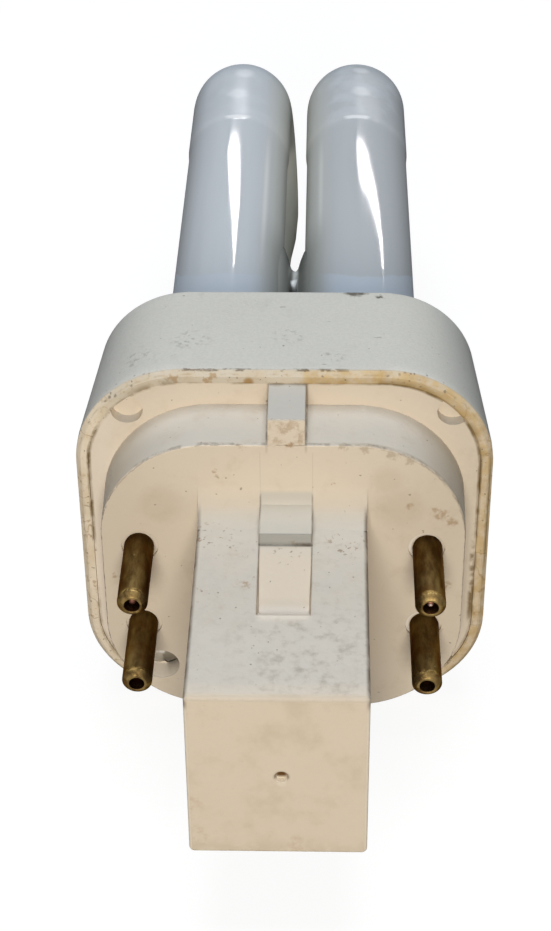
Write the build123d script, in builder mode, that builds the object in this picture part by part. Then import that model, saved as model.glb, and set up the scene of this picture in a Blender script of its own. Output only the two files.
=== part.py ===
"""Plug-in compact fluorescent lamp: two glass U-tubes in a collar, on a four-pin cap with a guide post.

The lamp lies along Y on one flat of its collar: pins and post towards -Y, tube bends towards +Y, Z up.
Depths are measured from the seat face, which the pins stand on, towards the tubes.
"""
import os
from math import radians, sqrt, tan

from build123d import *

os.makedirs("parts", exist_ok=True)

# Contact pins, brass, on the cap's standard rectangle
pin_spacing_x = 23.0
pin_spacing_z = 8.0
pin_diameter = 2.4
pin_bore = 1.2
pin_bore_depth = 2.8
pin_reach = 7.5
pin_tail = 6.0
pin_tail_diameter = 2.2
pin_tip_round = 0.5
pin_fit = 0.02
sleeve_wall = 1.0
sleeve_length = 3.2
dish_diameter = 2.95
dish_depth = 0.25
dish_shift = 0.05

# Boss of the base cap, with its key rib
pin_land = 1.8
boss_corner = 9.0
boss_height = 5.45
boss_draft = 1.5
boss_edge = 0.12
face_wall = 1.9
side_wall = 1.5
key_width = 2.9
key_setback = 0.4
centre_offset = 0.3
body_rise = 0.25

# Plate round the boss, with a blind pocket in each corner
side_ledge = 1.32
top_ledge = 2.17
bottom_ledge = 2.67
plate_corner = 8.0
plate_thickness = 1.6
pocket_diameter = 2.6
pocket_depth = 1.1
pocket_inset_x = 2.84
pocket_inset_z = 2.6
pocket_shift = 0.48

# Broken-out hole in the seat face
hole_diameter = 3.0
hole_x = -10.2
hole_z = -8.5

# Guide post, hollow, with a step and a sloping retention recess above and below
post_width = 13.27
post_height = 15.45
post_drop = 0.125
post_length = 21.9
post_upper_corner = 0.4
post_lower_corner = 0.8
post_edge = 0.35
post_wall = 1.8
post_root = 2.5
strip_width = 4.1
step_height = 1.0
step_length = 4.3
recess_length = 8.5
recess_slope = 7.0
recess_depth = 1.0
recess_draft = 11.0
gate_diameter = 1.1
gate_depth = 0.35
gate_draft = 20.0

# Tube collar
rim_wall = 1.03
collar_corner = 8.9
collar_length = 14.0
collar_draft = 4.0
rim_setback = 0.15
rim_band = 1.2
rim_edge = 0.4
back_edge = 0.5
back_wall = 1.6
plate_fit = 0.02
ledge_width = 1.3
cavity_corner = 6.5

# Glass tubes
tube_diameter = 10.2
tube_pitch = 12.2
tube_offset = 0.25
leg_pitch = 11.7
leg_lean = 0.4
tube_gap = 2.95
tube_length = 62.2
tube_end_round = 1.5
tube_fit = 0.15
swell_length = 10.0
swell_run = 1.2
swell_height = 0.12
neck_depth = 38.4
neck_diameter = 4.0
neck_flare = 1.2
neck_sink = 0.2

# Capping cement and lead-in wires
cement_depth = 4.0
cement_fit = 0.05
cement_corner = 5.5
wire_diameter = 0.5
wire_bend = 1.0
wire_spread = 2.4
wire_stub = 1.4
wire_fit = 0.05
wire_grip = 2.5

# Widths and depths that follow from the sizes above
boss_width = pin_spacing_x + pin_diameter + 2 * pin_land
plate_width = boss_width + 2 * side_ledge
collar_width = plate_width + 2 * rim_wall
plate_top = plate_width / 2 + body_rise
boss_top = plate_top - top_ledge
boss_bottom = plate_width / 2 - body_rise - bottom_ledge
pocket_x = plate_width / 2 - pocket_inset_x
pocket_z = plate_width / 2 - pocket_inset_z
plate_back = boss_height + plate_thickness
rim_depth = boss_height - rim_setback
collar_end = rim_depth + collar_length
cement_end = collar_end - back_wall
tube_start = plate_back + tube_gap
bend_depth = tube_start + tube_length
tube_radius = tube_diameter / 2
bend_radius = tube_radius + swell_height
leg_span = sqrt(leg_pitch**2 + leg_lean**2)
tip_depth = bend_depth + leg_span / 2 + bend_radius
axis_height = collar_width / 2 - body_rise
post_top = post_height / 2 - post_drop
post_bottom = post_height / 2 + post_drop
seat_y = post_length - (post_length + tip_depth) / 2
boss_middle = (boss_top - boss_bottom) / 2
boss_span = boss_top + boss_bottom
cavity_width = plate_width - 2 * ledge_width
left_x = tube_offset - tube_pitch / 2
right_x = tube_offset + tube_pitch / 2
leg_places = [
    (left_x, leg_pitch / 2),
    (left_x + leg_lean, -leg_pitch / 2),
    (right_x, leg_pitch / 2),
    (right_x + leg_lean, -leg_pitch / 2),
]
seen_from_tubes = [(-x, z) for x, z in leg_places]
pin_places = {
    "upper_left": (-pin_spacing_x / 2, pin_spacing_z / 2),
    "lower_left": (-pin_spacing_x / 2, -pin_spacing_z / 2),
    "upper_right": (pin_spacing_x / 2, pin_spacing_z / 2),
    "lower_right": (pin_spacing_x / 2, -pin_spacing_z / 2),
}


def facing_pins(depth):
    """Plane across the lamp at a depth, facing the pins: x to the right, y up."""
    return Plane(origin=(0, seat_y + depth, axis_height), x_dir=(1, 0, 0), z_dir=(0, -1, 0))


def facing_tubes(depth):
    """Plane across the lamp at a depth, facing the tubes: y up."""
    return Plane(origin=(0, seat_y + depth, axis_height), x_dir=(-1, 0, 0), z_dir=(0, 1, 0))


def lengthwise(x, z=0):
    """Plane along the lamp through (x, z): its x is the depth, its y is up."""
    return Plane(origin=(x, seat_y, axis_height + z), x_dir=(0, 1, 0), z_dir=(1, 0, 0))


# Glass envelope: two U-tubes, each a pair of turned legs and a half ring, joined by a blown neck
with BuildPart() as glass_envelope:
    for x, z in leg_places:
        with BuildSketch(lengthwise(x, z)):
            with BuildLine():
                Polyline(
                    (tube_start, tube_radius - tube_end_round),
                    (tube_start, 0),
                    (bend_depth, 0),
                    (bend_depth, bend_radius),
                    (bend_depth - swell_length + swell_run, bend_radius),
                    (bend_depth - swell_length, tube_radius),
                    (tube_start + tube_end_round, tube_radius),
                )
                RadiusArc(
                    (tube_start + tube_end_round, tube_radius),
                    (tube_start, tube_radius - tube_end_round),
                    -tube_end_round,
                )
            make_face()
        revolve(axis=Axis((x, seat_y, axis_height + z), (0, 1, 0)))
    for x in (left_x, right_x):
        with BuildSketch(facing_pins(bend_depth)):
            with Locations((x, leg_pitch / 2)):
                Circle(bend_radius)
        bend_middle = (x + leg_lean / 2, seat_y + bend_depth, axis_height)
        revolve(axis=Axis(bend_middle, (-leg_pitch, 0, -leg_lean)), revolution_arc=180)
    neck_half = tube_pitch / 2 - sqrt(tube_radius**2 - (neck_diameter / 2 + neck_flare) ** 2) + neck_sink
    neck_plane = Plane(
        origin=(tube_offset, seat_y + neck_depth, axis_height + leg_pitch / 2),
        x_dir=(1, 0, 0),
        z_dir=(0, 0, 1),
    )
    with BuildSketch(neck_plane):
        with BuildLine():
            ThreePointArc(
                (-neck_half, neck_diameter / 2 + neck_flare),
                (0, neck_diameter / 2),
                (neck_half, neck_diameter / 2 + neck_flare),
            )
            Polyline(
                (neck_half, neck_diameter / 2 + neck_flare),
                (neck_half, 0),
                (-neck_half, 0),
                (-neck_half, neck_diameter / 2 + neck_flare),
            )
        make_face()
    revolve(axis=Axis(neck_plane.origin, (1, 0, 0)))
glass_envelope.part.label = "glass_envelope"
export_step(glass_envelope.part, "parts/glass_envelope.step")

# Tube collar: drafted square shell, with a seat for the plate and four tube openings in its back wall
with BuildPart() as tube_collar:
    with BuildSketch(facing_tubes(rim_depth)):
        with Locations((0, body_rise)):
            RectangleRounded(collar_width, collar_width, collar_corner)
    extrude(amount=rim_band)
    chamfer(tube_collar.faces().sort_by(Axis.Y)[0].edges(), rim_edge)
    with BuildSketch(facing_tubes(rim_depth + rim_band)):
        with Locations((0, body_rise)):
            RectangleRounded(collar_width, collar_width, collar_corner)
    extrude(amount=collar_length - rim_band, taper=collar_draft)
    fillet(tube_collar.faces().sort_by(Axis.Y)[-1].edges(), back_edge)
    with BuildSketch(facing_tubes(rim_depth)):
        seat_width = plate_width + 2 * plate_fit
        with Locations((0, body_rise)):
            RectangleRounded(seat_width, seat_width, plate_corner + plate_fit)
    extrude(amount=plate_back - rim_depth, mode=Mode.SUBTRACT)
    with BuildSketch(facing_tubes(plate_back)):
        with Locations((0, body_rise)):
            RectangleRounded(cavity_width, cavity_width, cavity_corner)
    extrude(amount=cement_end - plate_back, taper=collar_draft, mode=Mode.SUBTRACT)
    with BuildSketch(facing_tubes(cement_end)):
        with Locations(*seen_from_tubes):
            Circle(tube_radius + tube_fit)
    extrude(amount=back_wall, mode=Mode.SUBTRACT)
tube_collar.part.label = "tube_collar"
export_step(tube_collar.part, "parts/tube_collar.step")

# Capping cement: fills the back of the collar round the tube ends
with BuildPart() as capping_cement:
    cement_width = cavity_width - 2 * (cement_end - cement_depth - plate_back) * tan(radians(collar_draft))
    cement_width = cement_width - 2 * cement_fit
    with BuildSketch(facing_tubes(cement_end - cement_depth)):
        with Locations((0, body_rise)):
            RectangleRounded(cement_width, cement_width, cement_corner)
        with Locations(*seen_from_tubes):
            Circle(tube_radius + cement_fit, mode=Mode.SUBTRACT)
    extrude(amount=cement_depth)
    with BuildSketch(facing_tubes(plate_back)):
        fitted_width = cavity_width - 2 * cement_fit
        with Locations((0, body_rise)):
            RectangleRounded(fitted_width, fitted_width, cavity_corner - cement_fit)
    extrude(amount=cement_end - plate_back, taper=collar_draft, mode=Mode.INTERSECT)
capping_cement.part.label = "capping_cement"
export_step(capping_cement.part, "parts/capping_cement.step")

# Tool for the retention recess: a drafted pocket with a long sloping floor and a short ramp out of it
with BuildPart() as recess_tool:
    recess_plane = Plane(
        origin=(centre_offset, seat_y - step_length - recess_length / 2, axis_height + post_top),
        x_dir=(1, 0, 0),
        z_dir=(0, 0, -1),
    )
    with BuildSketch(recess_plane):
        Rectangle(strip_width, recess_length)
    extrude(amount=recess_depth, taper=recess_draft)
    with BuildSketch(lengthwise(centre_offset)):
        with BuildLine():
            Polyline(
                (-step_length, post_top),
                (-step_length - recess_slope, post_top - recess_depth),
                (-step_length - recess_length, post_top),
                close=True,
            )
        make_face()
    extrude(amount=strip_width, both=True, mode=Mode.INTERSECT)

# Base cap: plate, drafted boss with its key rib, and hollow guide post, moulded in one
with BuildPart() as base_cap:
    with BuildSketch(facing_pins(boss_height)):
        boss_spread = 2 * boss_height * tan(radians(boss_draft))
        with Locations((0, boss_middle)):
            RectangleRounded(boss_width + boss_spread, boss_span + boss_spread, boss_corner)
    extrude(amount=boss_height, taper=boss_draft)
    fillet(base_cap.faces().sort_by(Axis.Y)[0].edges(), boss_edge)
    with BuildSketch(facing_tubes(boss_height)):
        with Locations((0, body_rise)):
            RectangleRounded(plate_width, plate_width, plate_corner)
    extrude(amount=plate_thickness)
    with BuildSketch(facing_pins(boss_height)):
        with Locations((pocket_shift, body_rise)):
            with GridLocations(2 * pocket_x, 2 * pocket_z, 2, 2):
                Circle(pocket_diameter / 2)
    extrude(amount=-pocket_depth, mode=Mode.SUBTRACT)
    with BuildSketch(lengthwise(centre_offset)):
        with BuildLine():
            Polyline(
                (boss_height, plate_top),
                (boss_height, boss_top - side_wall),
                (0, boss_top - side_wall),
                (0, boss_top),
                (key_setback, plate_top),
                close=True,
            )
        make_face()
    extrude(amount=key_width / 2, both=True)
    with BuildSketch(facing_pins(0)):
        with Locations((0, -post_drop)):
            post_outline = Rectangle(post_width, post_height)
        fillet(post_outline.vertices().group_by(Axis.Z)[-1], post_upper_corner)
        fillet(post_outline.vertices().group_by(Axis.Z)[0], post_lower_corner)
    extrude(amount=post_length)
    fillet(base_cap.faces().sort_by(Axis.Y)[0].edges(), post_edge)
    for up, post_side in ((1, post_top), (-1, -post_bottom)):
        with BuildSketch(lengthwise(0)):
            with BuildLine():
                Polyline((-post_root, post_side), (0, post_side), (0, post_side + up * post_root))
                ThreePointArc(
                    (0, post_side + up * post_root),
                    (-post_root * (1 - sqrt(0.5)), post_side + up * post_root * (1 - sqrt(0.5))),
                    (-post_root, post_side),
                )
            make_face()
        extrude(amount=post_width / 2, both=True)
        with BuildSketch(lengthwise(centre_offset)):
            with Locations((-step_length / 2, post_side)):
                Rectangle(step_length, 2 * step_height)
        extrude(amount=strip_width / 2, both=True)
    add(recess_tool.part, mode=Mode.SUBTRACT)
    post_level = Plane.XY.offset(axis_height - post_drop)
    add(mirror(recess_tool.part, about=post_level, mode=Mode.PRIVATE), mode=Mode.SUBTRACT)
    with BuildSketch(facing_pins(-post_length)):
        with Locations((centre_offset, 0)):
            Circle(gate_diameter / 2)
    extrude(amount=-gate_depth, taper=gate_draft, mode=Mode.SUBTRACT)
    with BuildSketch(facing_pins(plate_back)):
        with Locations((0, boss_middle)):
            RectangleRounded(boss_width - 2 * side_wall, boss_span - 2 * side_wall, boss_corner - side_wall)
    extrude(amount=plate_back - face_wall, mode=Mode.SUBTRACT)
    with BuildSketch(facing_pins(face_wall)):
        with Locations((0, -post_drop)):
            Rectangle(post_width - 2 * post_wall, post_height - 2 * post_wall)
    extrude(amount=face_wall + post_length - post_wall, mode=Mode.SUBTRACT)
    with BuildSketch(facing_tubes(face_wall)):
        with GridLocations(pin_spacing_x, pin_spacing_z, 2, 2):
            Circle(pin_diameter / 2 + sleeve_wall)
    extrude(amount=sleeve_length)
    with BuildSketch(facing_pins(face_wall + sleeve_length)):
        with GridLocations(pin_spacing_x, pin_spacing_z, 2, 2):
            Circle(pin_tail_diameter / 2 + pin_fit)
    extrude(amount=face_wall + sleeve_length, mode=Mode.SUBTRACT)
    with BuildSketch(facing_pins(0)):
        with GridLocations(pin_spacing_x - 2 * dish_shift, pin_spacing_z, 2, 2):
            Circle(dish_diameter / 2)
    extrude(amount=-dish_depth, mode=Mode.SUBTRACT)
    with BuildSketch(facing_pins(0)):
        with Locations((hole_x, hole_z)):
            Circle(hole_diameter / 2)
    extrude(amount=-face_wall, mode=Mode.SUBTRACT)
base_cap.part.label = "base_cap"
export_step(base_cap.part, "parts/base_cap.step")

# Contact pins: bored at the tip, with a thinner tail pressed into the cap and crimped on the wire
for place, (x, z) in pin_places.items():
    with BuildPart() as contact_pin:
        with BuildSketch(lengthwise(x, z)):
            with BuildLine():
                Polyline(
                    (-pin_reach, pin_diameter / 2 - pin_tip_round),
                    (-pin_reach, pin_bore / 2),
                    (-pin_reach + pin_bore_depth, pin_bore / 2),
                    (-pin_reach + pin_bore_depth, 0),
                    (pin_tail - wire_grip, 0),
                    (pin_tail - wire_grip, wire_diameter / 2 + wire_fit),
                    (pin_tail, wire_diameter / 2 + wire_fit),
                    (pin_tail, pin_tail_diameter / 2),
                    (0, pin_tail_diameter / 2),
                    (0, pin_diameter / 2),
                    (-pin_reach + pin_tip_round, pin_diameter / 2),
                )
                RadiusArc(
                    (-pin_reach + pin_tip_round, pin_diameter / 2),
                    (-pin_reach, pin_diameter / 2 - pin_tip_round),
                    -pin_tip_round,
                )
            make_face()
        revolve(axis=Axis((x, seat_y, axis_height + z), (0, 1, 0)))
    contact_pin.part.label = "contact_pin_" + place
    export_step(contact_pin.part, "parts/contact_pin_" + place + ".step")

# Lead-in wires: from the lower tube ends, which hold the electrodes, into the tails of the pins
for place, (x, z) in pin_places.items():
    side = 1 if x > 0 else -1
    outer = 1 if z < 0 else -1
    start_x = tube_offset + leg_lean + side * (tube_pitch / 2 + outer * wire_spread / 2)
    start_z = axis_height - leg_pitch / 2
    with BuildPart() as lead_wire:
        with BuildLine() as wire_path:
            FilletPolyline(
                (start_x, seat_y + tube_start, start_z),
                (start_x, seat_y + tube_start - wire_stub, start_z),
                (x, seat_y + pin_tail + wire_bend, axis_height + z),
                (x, seat_y + pin_tail - wire_grip, axis_height + z),
                radius=wire_bend,
            )
        with BuildSketch(Plane(wire_path.line @ 0, z_dir=wire_path.line % 0)):
            Circle(wire_diameter / 2)
        sweep()
    lead_wire.part.label = "lead_wire_" + place
    export_step(lead_wire.part, "parts/lead_wire_" + place + ".step")
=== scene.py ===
from math import cos, pi, radians, sin

import bmesh
import bpy
from mathutils import Matrix, Vector


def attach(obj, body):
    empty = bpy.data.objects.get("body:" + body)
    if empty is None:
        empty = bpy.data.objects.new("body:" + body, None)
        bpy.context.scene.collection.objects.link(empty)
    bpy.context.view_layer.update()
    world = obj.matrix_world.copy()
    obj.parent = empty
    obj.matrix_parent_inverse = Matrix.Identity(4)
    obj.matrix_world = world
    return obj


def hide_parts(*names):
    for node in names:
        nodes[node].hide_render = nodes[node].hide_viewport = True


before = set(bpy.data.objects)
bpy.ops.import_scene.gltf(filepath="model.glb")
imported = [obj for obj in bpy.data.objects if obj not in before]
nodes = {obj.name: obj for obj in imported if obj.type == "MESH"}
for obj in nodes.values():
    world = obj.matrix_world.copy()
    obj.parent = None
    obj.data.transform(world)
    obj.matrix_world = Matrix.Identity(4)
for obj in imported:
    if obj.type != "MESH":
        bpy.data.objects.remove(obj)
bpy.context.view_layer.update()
scene = bpy.context.scene

# Glass envelope: two bent glass tubes, each a U, blown together by a short neck near the cap.
# The inside is dusted with grey-white powder, which stops short of the collar and leaves bare glass there.
# The bends were pressed in a mould, so they are a shade thicker and a little uneven.
SEAT = Vector((0, -0.0306867, 0.0166))
tube_radius = 0.0051
bend_radius = 0.00522
leg_start = 0.0100
swell_start = 0.0622
swell_end = 0.0634
bend_start = 0.07218
leg_rise = 0.00585
bend_lean = 0.0008
tube_sides = 72
bend_steps = 36
upper_legs = {"left": -0.00585, "right": 0.00635}

# Stations along an upper leg: the place from the seat, and the radius there.
upper_leg = [
    (0.0200, tube_radius),
    (0.0340, tube_radius),
    (0.0480, tube_radius),
    (0.0619, tube_radius),
    (swell_start, tube_radius),
    ((swell_start + swell_end) / 2, (tube_radius + bend_radius) / 2 + 0.00002),
    (swell_end, bend_radius),
    (0.0680, bend_radius),
    (bend_start, bend_radius),
]

# Stations back along a lower leg: the place, the radius, and how far aside of the upper leg it runs.
lower_leg = [
    (0.0680, bend_radius, 0.00066),
    (0.0640, bend_radius - 0.00001, 0.00024),
    (0.0605, tube_radius + 0.00006, 0.00012),
    (0.0570, tube_radius + 0.00001, 0.00006),
    (0.0480, tube_radius, 0.00010),
    (0.0340, tube_radius, 0.00025),
    (0.0200, tube_radius, 0.00040),
    (leg_start, tube_radius, 0.00040),
]


def node(tree, kind, inputs=(), **settings):
    """Adds a shader node, with its settings and its inputs filled or linked."""
    made = tree.nodes.new(kind)
    for key, value in settings.items():
        setattr(made, key, value)
    for key, value in dict(inputs).items():
        if isinstance(value, bpy.types.NodeSocket):
            tree.links.new(value, made.inputs[key])
        else:
            made.inputs[key].default_value = value
    return made


def sums(tree, operation, first, second=0.0):
    """One step of arithmetic."""
    return node(tree, "ShaderNodeMath", {0: first, 1: second}, operation=operation).outputs[0]


def split(tree, place):
    """A place's three parts: across the lamp, along it and up."""
    parts = node(tree, "ShaderNodeSeparateXYZ", {0: place})
    return [parts.outputs[axis] for axis in "XYZ"]


def ease(tree, value, none, full):
    """0 where the value is at none, 1 where it is at full, and a smooth change between."""
    steps = {"Value": value, "From Min": none, "From Max": full}
    return node(tree, "ShaderNodeMapRange", steps, interpolation_type="SMOOTHSTEP").outputs["Result"]


def tint(tree, amount, under, over):
    """Colour over laid on colour under."""
    colours = {0: amount, 6: under, 7: over}
    return node(tree, "ShaderNodeMix", colours, data_type="RGBA").outputs[2]


def cloud(tree, place, scale, detail=3.0, rough=0.55, warp=0.0):
    """Soft noise; scale is features per millimetre."""
    feel = {"Vector": place, "Scale": scale, "Detail": detail, "Roughness": rough, "Distortion": warp}
    return node(tree, "ShaderNodeTexNoise", feel).outputs["Fac"]


def times(tree, *amounts):
    """Several amounts multiplied."""
    whole = amounts[0]
    for amount in amounts[1:]:
        whole = sums(tree, "MULTIPLY", whole, amount)
    return whole


def together(tree, *amounts):
    """The strongest of several amounts."""
    whole = amounts[0]
    for amount in amounts[1:]:
        whole = sums(tree, "MAXIMUM", whole, amount)
    return whole


def topped(tree, base, amount, share=1.0):
    """A base amount with a share of another amount on top."""
    return sums(tree, "ADD", times(tree, amount, share), base)


def within(tree, value, low, high, soft=0.08):
    """1 between low and high, with soft ends."""
    above = ease(tree, value, low - soft, low + soft)
    return times(tree, above, ease(tree, value, high + soft, high - soft))


def frayed(tree, place, scale, amount):
    """Places pushed about by noise, so that a stain read there has a ragged edge."""
    push = node(tree, "ShaderNodeTexNoise", {"Vector": place, "Scale": scale, "Detail": 4.0}).outputs["Color"]
    push = node(tree, "ShaderNodeVectorMath", {0: push, 1: (0.5, 0.5, 0.5)}, operation="SUBTRACT").outputs[0]
    push = node(tree, "ShaderNodeVectorMath", {0: push, "Scale": amount}, operation="SCALE").outputs[0]
    return node(tree, "ShaderNodeVectorMath", {0: place, 1: push}, operation="ADD").outputs[0]


def spots(tree, place, *patches):
    """Stains round given places in millimetres from the seat; each is a centre and a reach."""
    whole = 0.0
    for centre, reach in patches:
        far = node(tree, "ShaderNodeVectorMath", {0: place, 1: centre}, operation="DISTANCE").outputs["Value"]
        whole = sums(tree, "MAXIMUM", ease(tree, far, reach, 0.35 * reach), whole)
    return whole


def new_finish(name):
    """A material with its tree, its Principled shader, and places in millimetres from the seat's centre."""
    finish = bpy.data.materials.new(name)
    finish.use_nodes = True
    tree = finish.node_tree
    shader = tree.nodes["Principled BSDF"]
    spot = node(tree, "ShaderNodeTexCoord").outputs["Object"]
    spot = node(tree, "ShaderNodeVectorMath", {0: spot, 1: SEAT}, operation="SUBTRACT").outputs[0]
    spot = node(tree, "ShaderNodeVectorMath", {0: spot, "Scale": 1000.0}, operation="SCALE").outputs[0]
    return finish, tree, shader, spot


def set_sockets(shader, settings):
    """Sets what is the same all over a surface."""
    for socket, value in settings.items():
        shader.inputs[socket].default_value = value


def finish_piece(bm, name, finish, replaced=()):
    """Turns a bmesh into a shown piece that rides on the lamp."""
    mesh = bpy.data.meshes.new(name)
    for face in bm.faces:
        face.smooth = True
    bm.to_mesh(mesh)
    bm.free()
    mesh.materials.append(finish)
    piece = bpy.data.objects.new(name, mesh)
    scene.collection.objects.link(piece)
    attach(piece, "root")
    if replaced:
        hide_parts(*replaced)
    return piece


def coated_glass(name, shine, ripple):
    """Glass with powder behind it; shine is its gloss, and ripple blurs what it mirrors."""
    finish, tree, shader, spot = new_finish(name)
    x, depth, z = split(tree, spot)
    drawn_out = node(tree, "ShaderNodeMapping", {"Vector": spot, "Scale": (1.0, 0.06, 1.0)}).outputs[0]

    # The powder is uneven along the tube, greyer on the right and milky on the bends, with painted highlights
    # on the bends and at their crease.
    powder_and_painted_light = tint(tree, cloud(tree, drawn_out, 0.9, 4.0), (0.525, 0.56, 0.595, 1), (0.585, 0.615, 0.645, 1))
    greyer = times(tree, ease(tree, x, 0.5, 4.0), 0.7)
    powder_and_painted_light = tint(tree, greyer, powder_and_painted_light, (0.455, 0.48, 0.495, 1))
    milky = times(tree, ease(tree, depth, 60.5, 64.0), ease(tree, cloud(tree, spot, 0.28, 3.0), 0.42, 0.68))
    powder_and_painted_light = tint(tree, times(tree, milky, 0.5), powder_and_painted_light, (0.62, 0.65, 0.69, 1))
    # Painted highlights on the bends, and a thin one along the crease where the bend swells.
    bend_highlights = spots(tree, frayed(tree, spot, 0.5, 0.9), ((-6.0, 67.6, 11.06), 1.5), ((-5.5, 72.6, 11.0), 1.4),
                  ((6.8, 68.2, 11.05), 1.4), ((6.9, 73.4, 10.96), 1.2))
    crease = times(tree, within(tree, depth, 62.1, 62.7, 0.15), ease(tree, z, 10.76, 10.92))
    bend_highlights = together(tree, times(tree, bend_highlights, 0.6), crease)
    powder_and_painted_light = tint(tree, times(tree, bend_highlights, 0.8), powder_and_painted_light, (0.82, 0.84, 0.86, 1))
    # Painted reflections: pale streaks lengthwise on both tubes.
    left_reflection_streak = times(tree, within(tree, x, -2.75, -2.45, 0.25), within(tree, depth, 38.0, 57.0, 5.0))
    right_reflection_streak = times(tree, within(tree, x, 2.55, 2.85, 0.25), within(tree, depth, 43.0, 58.0, 5.0))
    reflection_streak = times(tree, together(tree, left_reflection_streak, right_reflection_streak), ease(tree, z, 8.0, 9.0))
    powder_and_painted_light = tint(tree, times(tree, reflection_streak, 0.85), powder_and_painted_light, (0.80, 0.81, 0.81, 1))
    # Painted shade darkens the outer flanks of both tubes.
    shaded_flank = together(tree, ease(tree, x, -9.0, -10.7), ease(tree, x, 9.4, 11.2))
    powder_and_painted_light = tint(tree, times(tree, shaded_flank, 0.4), powder_and_painted_light, (0.41, 0.43, 0.44, 1))

    # Bare glass shows by the collar. The powder's edge slants across the tubes and wanders a little.
    edge_slant = 0.5907
    edge_level = 6.5
    edge_bare, edge_coated = 28.95, 29.25
    bare = tint(tree, cloud(tree, drawn_out, 0.5), (0.50, 0.555, 0.62, 1), (0.54, 0.595, 0.655, 1))
    paler = times(tree, ease(tree, x, 0.0, -2.0), 0.5)
    bare = tint(tree, paler, bare, (0.60, 0.65, 0.705, 1))
    height = together(tree, sums(tree, "ABSOLUTE", z), edge_level)
    wander = times(tree, sums(tree, "SUBTRACT", cloud(tree, spot, 0.22), 0.5), 1.2)
    coat_edge = sums(tree, "ADD", topped(tree, height, depth, edge_slant), wander)
    powder_and_painted_light = tint(tree, ease(tree, coat_edge, edge_bare, edge_coated), bare, powder_and_painted_light)

    # Between the tubes painted shade turns the glass olive, with painted light on the lower legs low down and
    # deeper painted shade by the neck.
    gap_middle = 0.3
    shaded_inner = sums(tree, "ABSOLUTE", sums(tree, "SUBTRACT", x, gap_middle))
    shaded_inner = sums(tree, "SUBTRACT", 1.0, ease(tree, shaded_inner, 0.9, 4.0))
    powder_and_painted_light = tint(tree, times(tree, shaded_inner, 0.8), powder_and_painted_light, (0.55, 0.55, 0.495, 1))
    lit_low_down = times(tree, shaded_inner, ease(tree, z, 1.0, -1.0))
    powder_and_painted_light = tint(tree, lit_low_down, powder_and_painted_light, (0.86, 0.85, 0.76, 1))
    shaded_by_neck = times(tree, shaded_inner, ease(tree, depth, 46.0, 38.0), ease(tree, z, 4.0, 6.0))
    powder_and_painted_light = tint(tree, times(tree, shaded_by_neck, 0.75), powder_and_painted_light, (0.33, 0.34, 0.315, 1))

    tree.links.new(powder_and_painted_light, shader.inputs["Base Color"])
    set_sockets(shader, {
        "Roughness": 0.5, "IOR": 1.45, "Specular IOR Level": 0.0,
        "Coat Weight": shine, "Coat Roughness": ripple, "Coat IOR": 1.5,
    })
    return finish


def next_ring(bm, edges, step, middle, swell):
    """Extrudes an open end by a step and widens it about its middle; gives the new end's points and edges."""
    grown = bmesh.ops.extrude_edge_only(bm, edges=edges)["geom"]
    ring = [g for g in grown if isinstance(g, bmesh.types.BMVert)]
    bmesh.ops.translate(bm, verts=ring, vec=step)
    widen = Matrix.Diagonal((swell, 1, swell, 1))
    bmesh.ops.transform(bm, matrix=widen, space=Matrix.Translation(-middle), verts=ring)
    return ring, [g for g in grown if isinstance(g, bmesh.types.BMEdge)]


leg_glass = coated_glass("powder_coated_glass", shine=0.07, ripple=0.05)
bend_glass = coated_glass("powder_coated_bend", shine=0.035, ripple=0.26)

for side, upper_x in upper_legs.items():
    bm = bmesh.new()
    start = SEAT + Vector((upper_x, leg_start, leg_rise))
    stand = Matrix.Translation(start) @ Matrix.Rotation(pi / 2, 4, "X")
    bmesh.ops.create_circle(bm, cap_ends=False, segments=tube_sides, radius=tube_radius, matrix=stand)
    edges = list(bm.edges)
    here, radius = leg_start, tube_radius
    for along, wide in upper_leg:
        middle = SEAT + Vector((upper_x, along, leg_rise))
        ring, edges = next_ring(bm, edges, (0, along - here, 0), middle, wide / radius)
        here, radius = along, wide
    turn = SEAT + Vector((upper_x + bend_lean / 2, bend_start, 0))
    across = Vector((-2 * leg_rise, 0, -bend_lean)).normalized()
    spun = bmesh.ops.spin(bm, geom=ring + edges, cent=turn, axis=across, angle=pi, steps=bend_steps,
                          use_duplicate=False)
    edges = [g for g in spun["geom_last"] if isinstance(g, bmesh.types.BMEdge)]
    lean = bend_lean
    for along, wide, next_lean in lower_leg:
        middle = SEAT + Vector((upper_x + next_lean, along, -leg_rise))
        ring, edges = next_ring(bm, edges, (next_lean - lean, along - here, 0), middle, wide / radius)
        here, radius, lean = along, wide, next_lean
    ends = [e for e in bm.edges if e.is_boundary]
    bmesh.ops.holes_fill(bm, edges=ends, sides=0)
    bmesh.ops.recalc_face_normals(bm, faces=bm.faces)
    for face in bm.faces:
        face.material_index = int(face.calc_center_median().y > SEAT.y + swell_start)
    tube = finish_piece(bm, "glass_tube_" + side, leg_glass, ["glass_envelope"])
    tube.data.materials.append(bend_glass)

# Blown neck: the short bridge of glass that joins the two upper legs, drawn out while the glass was hot.
# It flares into both legs and has no powder inside; its dark olive is painted shade, with a painted highlight
# on its crest.
neck_x = 0.00025
neck_sides = 48
crest_x = 0.40
bare_glass, tree, shader, spot = new_finish("bare_glass")
aside = sums(tree, "ABSOLUTE", sums(tree, "SUBTRACT", split(tree, spot)[0], crest_x))
olive = tint(tree, cloud(tree, spot, 0.8), (0.115, 0.12, 0.105, 1), (0.15, 0.155, 0.14, 1))
olive = tint(tree, ease(tree, aside, 0.5, 1.7), olive, (0.33, 0.335, 0.31, 1))
# A painted highlight along the crest.
olive = tint(tree, times(tree, ease(tree, aside, 0.38, 0.04), 0.8), olive, (0.62, 0.63, 0.61, 1))
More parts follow.
